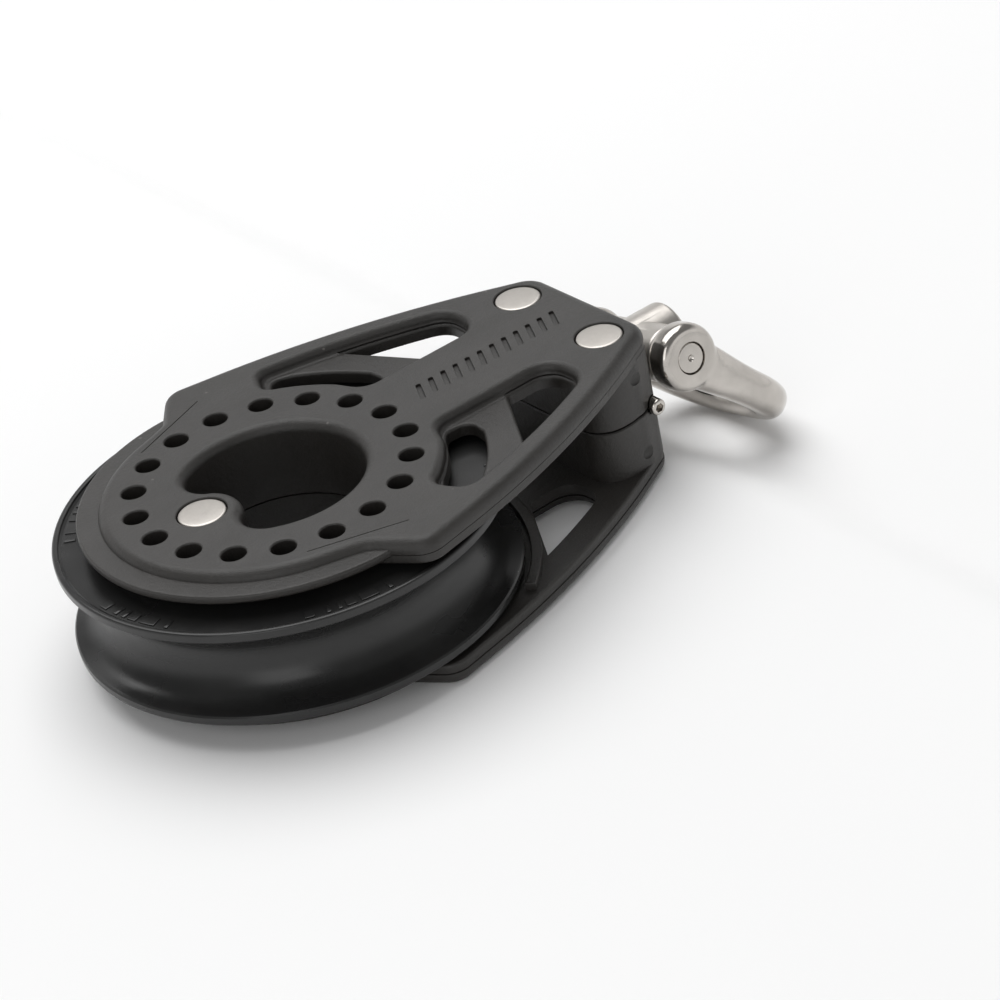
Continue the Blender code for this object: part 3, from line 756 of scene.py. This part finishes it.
def make_sheave():
    rim = SHEAVE_RIM
    groove = arc((SHEAVE_RADIUS - 0.1, 0), ROPE_RADIUS, 98, 262, 40)
    upper = [(SHEAVE_WEB_BORE, SHEAVE_WEB), (SHEAVE_BORE, SHEAVE_WEB)]
    upper += corner(SHEAVE_BORE, SHEAVE_SIDE, 0.4, -1, 1)
    upper += [(SHEAVE_RADIUS - 1.5, SHEAVE_SIDE)]
    upper += corner(SHEAVE_RADIUS - 1.1, rim, 0.35, -1, 1)
    upper += corner(SHEAVE_RADIUS, rim, 0.45, 1, 1)[::-1]
    upper += [(SHEAVE_RADIUS, ROPE_RADIUS + 0.35), (SHEAVE_RADIUS - 0.25, ROPE_RADIUS + 0.08)]
    lower = [(r, -z) for r, z in reversed(upper)]
    wheel = turned("rope_sheave", upper + [(p[0], p[1]) for p in groove] + lower, 192)
    marks = flange_marks()
    under = mirrored_copy("under_marks", marks)
    wheel = combined(wheel, "UNION", [marks, under])
    settle(shaded(wheel), "sheave", "sheave_acetal", ACETAL, "sheave")


def race_ring(name):
    ball_track = [(BALL_CIRCLE + (BALL_RADIUS + 0.1) * math.cos(math.radians(a)),
                   BALL_HEIGHT + (BALL_RADIUS + 0.1) * math.sin(math.radians(a)))
                  for a in range(200, 131, -8)]
    profile = corner(RACE_BORE, JOINT_GAP, 0.3, -1, -1) + [(RACE_LAND, JOINT_GAP), (RACE_LAND, 3.9)]
    profile += ball_track
    top = PLATE_INSIDE - RUN_GAP
    profile += [(RACE_LIP, 6.7), (RACE_LIP, top - 0.1), (RACE_LIP - 0.1, top)]
    profile += corner(RACE_BORE, top, 0.3, -1, 1)[::-1]
    return turned(name, profile, 96)


def ball_angle(i):
    return 2 * math.pi * (i + 0.5) / BALL_COUNT


def cage_ring(name):
    inner, outer, low, high = 21.9, 24.7, 5.4, 8.6
    profile = corner(inner, low, 0.25, -1, -1, 3) + corner(outer, low, 0.25, 1, -1, 3)[::-1]
    profile += corner(outer, high, 0.25, 1, 1, 3) + corner(inner, high, 0.25, -1, 1, 3)[::-1]
    ring = turned(name, profile, 96)
    seats = []
    for i in range(BALL_COUNT):
        spin = Matrix.Rotation(ball_angle(i), 4, "Z") @ Matrix.Rotation(math.pi / 2, 4, "Y")
        seat = lofts("seat", [(circle((0, 0), 2.3, 32), [(0, inner - 2), (0, outer + 2)])])
        seats.append(moved(seat, (0, 0, BALL_HEIGHT), spin))
    return combined(ring, "DIFFERENCE", seats)


def make_bearing():
    race = shaded(race_ring("upper_inner_race_ring"))
    other = shaded(mirrored_copy("lower_inner_race_ring", race))
    settle(race, "frame", "race_resin", RACE, "upper_inner_race")
    settle(other, "frame", "race_resin", RACE, "lower_inner_race")
    cage = shaded(cage_ring("upper_cage_ring"))
    other = shaded(mirrored_copy("lower_cage_ring", cage))
    settle(cage, "upper_bearing", "cage_acetal", CAGE, "upper_ball_cage")
    settle(other, "lower_bearing", "cage_acetal", CAGE, "lower_ball_cage")
    for row in ("upper", "lower"):
        for i in range(BALL_COUNT):
            node = f"{row}_ball_{i + 1:02d}"
            bm = bmesh.new()
            bmesh.ops.create_icosphere(bm, subdivisions=4, radius=BALL_RADIUS)
            ball = mesh_object(f"{row}_bearing_ball_{i + 1:02d}", bm)
            moved(ball, (middle(node) - HOME) / MM)
            ball.data.shade_smooth()
            settle(ball, f"{row}_bearing", "ball_resin", BALL, node)


# Rivets ---------------------------------------------------------------------


def make_rivets():
    for name, (spot, shank) in rivet_spots().items():
        top = HALF_WIDTH - 0.05
        under = HALF_WIDTH - RIVET_SINK + 0.2
        half = [(0, top), (RIVET_HEAD * 0.55, top - 0.015), (RIVET_HEAD - 0.75, top - 0.06)]
        half += corner(RIVET_HEAD, top - 0.08, 0.42, 1, 1)[::-1]
        half += [(RIVET_HEAD, under), (shank, under - 0.05)]
        profile = half + [(r, -z) for r, z in reversed(half)]
        piece = moved(turned(name + "_pressed", profile, 72), (spot[0], spot[1], 0))
        settle(shaded(piece, 40), "frame", "satin_stainless", SATIN, name)


# Swivel post, shackle, pin and screw ----------------------------------------


def rolled(obj):
    """Turns a piece with the swivel, about its own axis."""
    return moved(obj, turn=Matrix.Rotation(-math.radians(SWIVEL_ROLL), 4, "X"))


def make_post():
    profile = [(0, POST_REAR)] + corner(FLANGE_RADIUS, POST_REAR, 0.4, 1, -1)[::-1]
    profile += corner(FLANGE_RADIUS, FLANGE_FRONT, 0.4, 1, 1)
    profile += [(SHANK_RADIUS, FLANGE_FRONT), (SHANK_RADIUS, HEAD_END_X + RUN_GAP)]
    profile += corner(POST_RADIUS, HEAD_END_X + RUN_GAP, 0.5, 1, -1)[::-1]
    profile += corner(POST_RADIUS, POST_END_X, 0.9, 1, 1) + [(0, POST_END_X)]
    stem = turned("swivel_stud", profile, 96, X)
    half = PIN_BOSS_HALF
    barrel = [(0, -half)] + corner(PIN_BOSS_RADIUS, -half, 0.7, 1, -1)[::-1]
    barrel += corner(PIN_BOSS_RADIUS, half, 0.7, 1, 1) + [(0, half)]
    barrel = moved(turned("barrel", barrel, 96, Y), (PIN_X, 0, 0))
    post = combined(stem, "UNION", [barrel])
    hole = turned("hole", [(0, -14), (PIN_HOLE + 0.4, -14), (PIN_HOLE + 0.4, -half),
                           (PIN_HOLE, 0.4 - half), (PIN_HOLE, half - 0.4),
                           (PIN_HOLE + 0.4, half), (PIN_HOLE + 0.4, 14), (0, 14)], 48, Y)
    post = combined(post, "DIFFERENCE", [moved(hole, (PIN_X, 0, 0))])
    settle(shaded(rolled(post)), "swivel", "satin_stainless", SATIN, "swivel_post")
    rear, front = WASHER_X
    ring = corner(FLANGE_RADIUS, rear, 0.3, 1, -1, 3)[::-1] + corner(FLANGE_RADIUS, front, 0.3, 1, 1, 3)
    ring = [(SHANK_RADIUS + RUN_GAP, rear)] + ring + [(SHANK_RADIUS + RUN_GAP, front)]
    settle(shaded(turned("swivel_thrust_washer", ring, 64, X)), "swivel", "race_resin", RACE,
           "swivel_washer")


def bow_path():
    """Centre line of the bow about the pin: u away from the pin, v to the left."""
    turn = (BOW_REACH - BOW_CORNER, BOW_HALF_WIDTH - BOW_CORNER)
    half = [Vector((ARM_START + (turn[0] - ARM_START) * i / 9, BOW_HALF_WIDTH)) for i in range(9)]
    half += arc(turn, BOW_CORNER, 90, 0, 16)
    return half + [Vector((p[0], -p[1])) for p in reversed(half)]


def bar_section(u):
    """Half thickness in the bow's plane, half depth across it and squareness: the
    arms are flat and deep, and the bow's end is round."""
    share = min(max((u - ARM_START) / (BOW_REACH - BOW_CORNER - ARM_START), 0.0), 1.0)
    share = share * share * (3 - 2 * share)
    return (ARM_HALF_THICK + (BAR_RADIUS - ARM_HALF_THICK) * share,
            ARM_HALF_DEEP + (BAR_RADIUS - ARM_HALF_DEEP) * share,
            ARM_SQUARENESS + (BOW_SQUARENESS - ARM_SQUARENESS) * share)


def forged_bow():
    """Bow and ears run into each other as one smooth forging."""
    sides = 36
    bm = bmesh.new()
    path = bow_path()
    rings = []
    for i, here in enumerate(path):
        along = (path[min(i + 1, len(path) - 1)] - path[max(i - 1, 0)]).normalized()
        across = Vector((-along[1], along[0]))
        thick, deep, power = bar_section(here[0])
        ring = []
        for k in range(sides):
            a = 2 * math.pi * k / sides
            out = math.copysign(abs(math.cos(a)) ** (2 / power), math.cos(a)) * thick
            side = math.copysign(abs(math.sin(a)) ** (2 / power), math.sin(a)) * deep
            flat = here + across * out
            ring.append(bm.verts.new((flat[0], flat[1], side)))
        rings.append(ring)
    bridge(bm, rings)
    bow = mesh_object("shackle_bow", bm)
    ears = []
    for low, high in ((-EAR_OUTER, -EAR_INNER), (EAR_INNER, EAR_OUTER)):
        rim = corner(EAR_RADIUS, low, 1.6, 1, -1)[::-1] + corner(EAR_RADIUS, high, 1.6, 1, 1)
        ears.append(turned("ear", [(0, low)] + rim + [(0, high)], 96, Y))
    bow = combined(bow, "UNION", ears)
    skin = bow.modifiers.new("skin", "REMESH")
    skin.mode = "VOXEL"
    skin.voxel_size = FORGING_VOXEL
    ease = bow.modifiers.new("ease", "SMOOTH")
    ease.iterations = 16
    ease.factor = 0.5
    return bow


def make_shackle():
    bow = forged_bow()
    bore, mouth = PIN_RADIUS + 0.07, PIN_RADIUS + 0.17
    eye = turned("hole", [(0, -20), (mouth, -20), (mouth, -EAR_OUTER + 0.05),
                          (bore, -EAR_OUTER + 0.15), (bore, EAR_OUTER - 0.15),
                          (mouth, EAR_OUTER - 0.05), (mouth, 20), (0, 20)], 64, Y)
    slack = turned("slack", [(0, -EAR_INNER), (EAR_RADIUS + 0.6, -EAR_INNER),
                             (EAR_RADIUS + 0.6, EAR_INNER), (0, EAR_INNER)], 64, Y)
    bow = combined(bow, "DIFFERENCE", [eye, slack])
    moved(bow, (PIN_X, 0, 0), Matrix.Rotation(math.radians(DROOP), 4, "Y"))
    settle(shaded(rolled(bow), 45), "shackle", "polished_stainless", POLISHED, "shackle")


def make_pin():
    seat = EAR_OUTER + RUN_GAP
    near = -EAR_OUTER + 0.15
    head = seat + PIN_HEAD_THICK
    profile = [(0, near + 0.5), (0.35, near + 0.35), (0.62, near + 0.02)]
    profile += corner(PIN_RADIUS, near, 0.35, 1, -1)[::-1]
    profile += [(PIN_RADIUS, seat), (PIN_HEAD_RADIUS - 0.3, seat), (PIN_HEAD_RADIUS, seat + 0.3)]
    profile += corner(PIN_HEAD_RADIUS, head, 0.8, 1, 1) + [(0, head)]
    pin = moved(turned("shackle_pin_turned", profile, 72, Y), (PIN_X, 0, 0))
    slot = lofts("slot", [([Vector((PIN_X - 6, head - 1.3)), Vector((PIN_X + 6, head - 1.3)),
                            Vector((PIN_X + 6, head + 1)), Vector((PIN_X - 6, head + 1))],
                           [(0, -0.7), (0, 0.7)])])
    pin = combined(pin, "DIFFERENCE", [slot])
    settle(shaded(rolled(pin)), "shackle_pin", "polished_stainless", POLISHED, "shackle_pin")


def make_screw():
    end, tip = SCREW_ENDS
    profile = [(0, end)] + corner(SCREW_RADIUS, end, 0.5, 1, -1, 6)[::-1]
    turns, pitch = 16, 0.7
    start = end + 3.2
    for i in range(turns * 2):
        depth = 0.28 if i % 2 else 0.0
        profile.append((SCREW_RADIUS - depth, start + pitch * i / 2 / 1.1))
    profile = [p for p in profile if p[1] < tip - 0.6]
    profile += [(SCREW_RADIUS - 0.5, tip), (0, tip)]
    screw = moved(turned("lock_screw_threaded", profile, 40, Y), (SCREW_X, 0, 0))
    socket = turned("socket", [(0, end - 1), (0.85, end - 1), (0.85, end + 1.8), (0, end + 2.2)],
                    6, Y)
    screw = combined(screw, "DIFFERENCE", [moved(socket, (SCREW_X, 0, 0))])
    settle(shaded(screw, 25), "lock_screw", "polished_stainless", POLISHED, "lock_screw")


# Stage, lights and camera ---------------------------------------------------


def make_stage():
    """A pale sheet: level under the cheeks, and lower under the shackle, whose bow
    hangs below the cheek that the block lies on."""
    paper = stage_paper()
    rest_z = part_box("lower_cheek")[0][Z] / MM
    wide, ramp_start, ramp, steps = 3000.0, HOME[X] / MM + 66.5, 20.0, 24
    level = rest_z - 0.05
    section = [(-wide, level)]
    for i in range(steps + 1):
        drop = (1 - math.cos(math.pi * i / steps)) / 2
        section.append((ramp_start + ramp * i / steps, level * (1 - drop)))
    section.append((wide, 0.0))
    bm = bmesh.new()
    rows = [[bm.verts.new((x, y, z)) for x, z in section] for y in (-wide, wide)]
    for i in range(len(section) - 1):
        bm.faces.new((rows[0][i], rows[0][i + 1], rows[1][i + 1], rows[1][i]))
    floor = mesh_object("floor", bm)
    if floor.data.polygons[0].normal.z < 0:
        floor.data.flip_normals()
    floor.data.transform(Matrix.Scale(MM, 4))
    floor.data.materials.append(paper)
    floor.data.shade_smooth()


def soft_light(name, place, size, power, color=(1, 1, 1)):
    """A square soft box at a place in millimetres about the block's centre."""
    lamp = bpy.data.lights.new(name, "AREA")
    lamp.shape = "SQUARE"
    lamp.size = size * MM
    lamp.energy = power
    lamp.color = color
    obj = bpy.data.objects.new(name, lamp)
    bpy.context.scene.collection.objects.link(obj)
    obj.location = HOME + Vector(place) * MM
    obj.rotation_euler = (-Vector(place)).to_track_quat("-Z", "Y").to_euler()


def make_lights():
    soft_light("overhead", (150, 450, 1250), 1500, 18.0)
    soft_light("front", (-600, -500, 500), 500, 1.2)
    Sky(horizon=0.95, above=0.24)
    bpy.context.scene.view_settings.view_transform = "Standard"


def make_camera():
    """Looks down on the block from its right and rear, turned a little."""
    lens, sensor, roll = 118.98, 36.0, 12.0
    place = Vector((-211.8, -408.0, 281.15))
    forward = Vector((0.4491, 0.7244, -0.5229)).normalized()
    level = forward.cross(Vector((0, 0, 1))).normalized()
    right = Matrix.Rotation(math.radians(roll), 3, forward) @ level
    up = right.cross(forward)
    camera = bpy.data.cameras.new("camera")
    camera.lens, camera.sensor_width = lens, sensor
    camera.clip_start, camera.clip_end = 0.01, 20.0
    obj = bpy.data.objects.new("camera", camera)
    bpy.context.scene.collection.objects.link(obj)
    turn = Matrix((right, up, -forward)).transposed().to_4x4()
    obj.matrix_world = Matrix.Translation(HOME + place * MM) @ turn
    bpy.context.scene.camera = obj


make_camera()
make_lights()
make_stage()
make_cheeks()
make_sheave()
make_bearing()
make_rivets()
make_post()
make_shackle()
make_pin()
make_screw()
